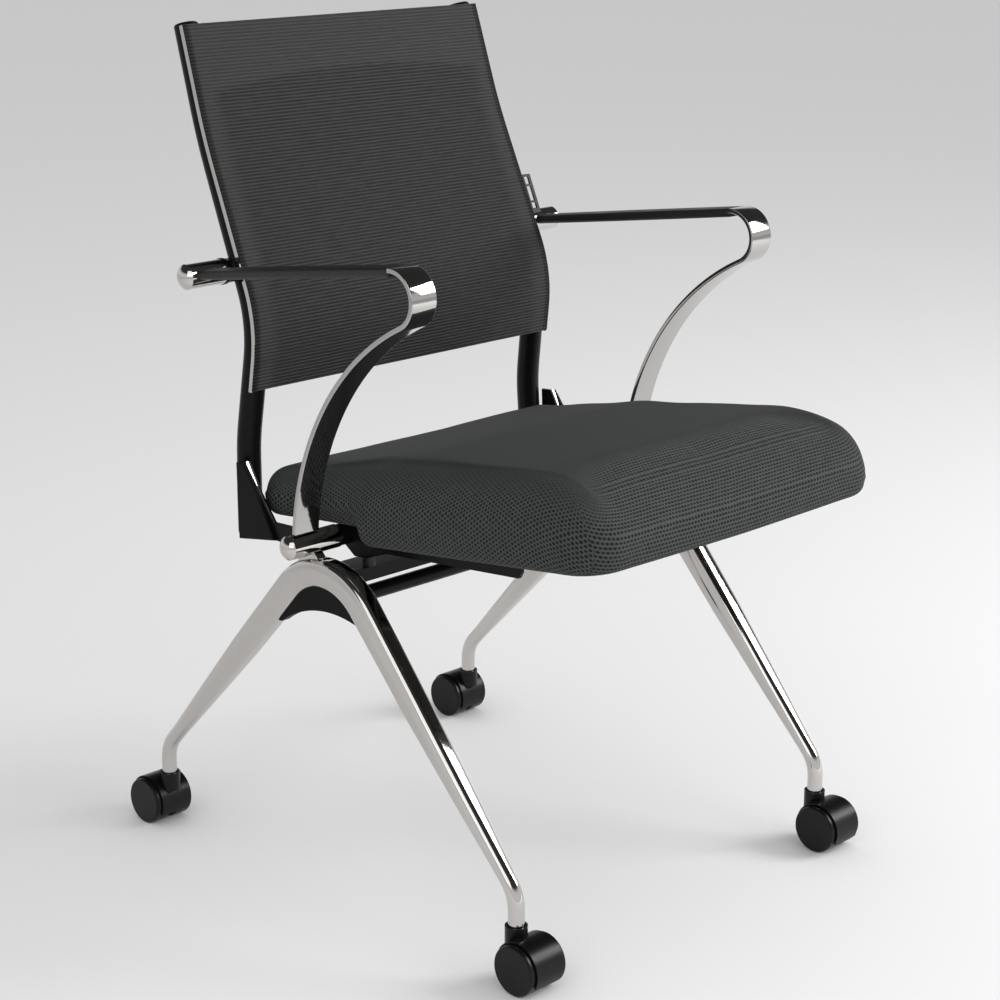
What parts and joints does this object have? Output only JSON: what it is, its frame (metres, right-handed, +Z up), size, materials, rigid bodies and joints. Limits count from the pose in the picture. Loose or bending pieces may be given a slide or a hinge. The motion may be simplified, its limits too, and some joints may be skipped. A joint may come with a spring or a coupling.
{
  "type": "nesting chair",
  "caption": "Nesting office chair with a flip-up upholstered seat, ribbed mesh back, looped chrome arms, inverted-V chrome legs and twin-wheel casters.",
  "frame": {"origin": "bottom centre of the whole chair at rest, on the floor", "axes": "+Z up, the sitter faces -Y, +X is to the viewer's right when the chair is seen from the front (the sitter's left hand)"},
  "size_m": [0.535, 0.6558, 0.8647],
  "materials": {
    "chrome": "polished chrome plate",
    "black_metal": "black powder coat, satin",
    "steel": "bright zinc-plated steel",
    "black_plastic": "black moulded plastic, satin",
    "gloss_black": "gloss black nylon",
    "arm_pad": "soft black urethane, satin",
    "back_mesh": "charcoal ribbed mesh",
    "seat_fabric": "grey three-dimensional spacer mesh",
    "bumper": "black rubber"
  },
  "bodies": {
    "frame": {"arm_bracket_left": "black_metal", "arm_bracket_right": "black_metal", "arm_pad_left": "arm_pad", "arm_pad_right": "arm_pad", "arm_strap_left": "chrome", "arm_strap_right": "chrome", "back_cross_bar": "black_metal", "back_tube_caps": "black_plastic", "back_tube_left": "black_metal", "back_tube_right": "black_metal", "caster_sockets": "black_plastic", "caster_stems": "steel", "cross_plate": "black_metal", "cross_tube": "black_metal", "cross_tube_studs": "steel", "foot_bolts": "steel", "foot_cover_left": "black_plastic", "foot_cover_right": "black_plastic", "leg_web_left": "black_metal", "leg_web_right": "black_metal", "lower_barrel_caps": "chrome", "lower_barrel_left": "chrome", "lower_barrel_right": "chrome", "mesh_edge_left": "chrome", "mesh_edge_right": "chrome", "mesh_panel": "back_mesh", "pivot_pins": "steel", "side_leg_left": "chrome", "side_leg_right": "chrome", "side_plate_left": "black_metal", "side_plate_right": "black_metal", "top_rail": "black_metal", "upper_barrel_caps": "chrome", "upper_barrel_left": "chrome", "upper_barrel_right": "chrome"},
    "seat": {"hub_bushes": "black_plastic", "pan_screws": "steel", "seat_bracket_left": "black_metal", "seat_bracket_right": "black_metal", "seat_cross_bar": "black_metal", "seat_cushion": "seat_fabric", "seat_pan": "black_plastic", "seat_stops": "bumper"},
    "caster_front_left": {"caster_hood_front_left": "gloss_black", "caster_axle_front_left": "steel"},
    "wheel_body_front_left_left": {"wheel_front_left_left": "gloss_black"},
    "wheel_body_front_left_right": {"wheel_front_left_right": "gloss_black"},
    "caster_front_right": {"caster_hood_front_right": "gloss_black", "caster_axle_front_right": "steel"},
    "wheel_body_front_right_left": {"wheel_front_right_left": "gloss_black"},
    "wheel_body_front_right_right": {"wheel_front_right_right": "gloss_black"},
    "caster_rear_left": {"caster_hood_rear_left": "gloss_black", "caster_axle_rear_left": "steel"},
    "wheel_body_rear_left_left": {"wheel_rear_left_left": "gloss_black"},
    "wheel_body_rear_left_right": {"wheel_rear_left_right": "gloss_black"},
    "caster_rear_right": {"caster_hood_rear_right": "gloss_black", "caster_axle_rear_right": "steel"},
    "wheel_body_rear_right_left": {"wheel_rear_right_left": "gloss_black"},
    "wheel_body_rear_right_right": {"wheel_rear_right_right": "gloss_black"}
  },
  "joints": [
    {"name": "seat_flip", "type": "hinge", "parent": "frame", "child": "seat", "pos_m": [0, 0.03218, 0.375], "axis": [-1, 0, 0], "range_deg": [0, 80]},
    {"name": "caster_front_left_swivel", "type": "hinge", "parent": "frame", "child": "caster_front_left", "pos_m": [-0.228, -0.24832, 0.06], "axis": [0, 0, 1], "continuous": true},
    {"name": "roll_front_left_left", "type": "hinge", "parent": "caster_front_left", "child": "wheel_body_front_left_left", "pos_m": [-0.228, -0.26632, 0.025], "axis": [1, 0, 0], "continuous": true},
    {"name": "roll_front_left_right", "type": "hinge", "parent": "caster_front_left", "child": "wheel_body_front_left_right", "pos_m": [-0.228, -0.26632, 0.025], "axis": [1, 0, 0], "continuous": true},
    {"name": "caster_front_right_swivel", "type": "hinge", "parent": "frame", "child": "caster_front_right", "pos_m": [0.228, -0.24832, 0.06], "axis": [0, 0, 1], "continuous": true},
    {"name": "roll_front_right_left", "type": "hinge", "parent": "caster_front_right", "child": "wheel_body_front_right_left", "pos_m": [0.228, -0.26632, 0.025], "axis": [1, 0, 0], "continuous": true},
    {"name": "roll_front_right_right", "type": "hinge", "parent": "caster_front_right", "child": "wheel_body_front_right_right", "pos_m": [0.228, -0.26632, 0.025], "axis": [1, 0, 0], "continuous": true},
    {"name": "caster_rear_left_swivel", "type": "hinge", "parent": "frame", "child": "caster_rear_left", "pos_m": [-0.228, 0.28268, 0.06], "axis": [0, 0, 1], "continuous": true},
    {"name": "roll_rear_left_left", "type": "hinge", "parent": "caster_rear_left", "child": "wheel_body_rear_left_left", "pos_m": [-0.228, 0.30068, 0.025], "axis": [1, 0, 0], "continuous": true},
    {"name": "roll_rear_left_right", "type": "hinge", "parent": "caster_rear_left", "child": "wheel_body_rear_left_right", "pos_m": [-0.228, 0.30068, 0.025], "axis": [1, 0, 0], "continuous": true},
    {"name": "caster_rear_right_swivel", "type": "hinge", "parent": "frame", "child": "caster_rear_right", "pos_m": [0.228, 0.28268, 0.06], "axis": [0, 0, 1], "continuous": true},
    {"name": "roll_rear_right_left", "type": "hinge", "parent": "caster_rear_right", "child": "wheel_body_rear_right_left", "pos_m": [0.228, 0.30068, 0.025], "axis": [1, 0, 0], "continuous": true},
    {"name": "roll_rear_right_right", "type": "hinge", "parent": "caster_rear_right", "child": "wheel_body_rear_right_right", "pos_m": [0.228, 0.30068, 0.025], "axis": [1, 0, 0], "continuous": true}
  ]
}
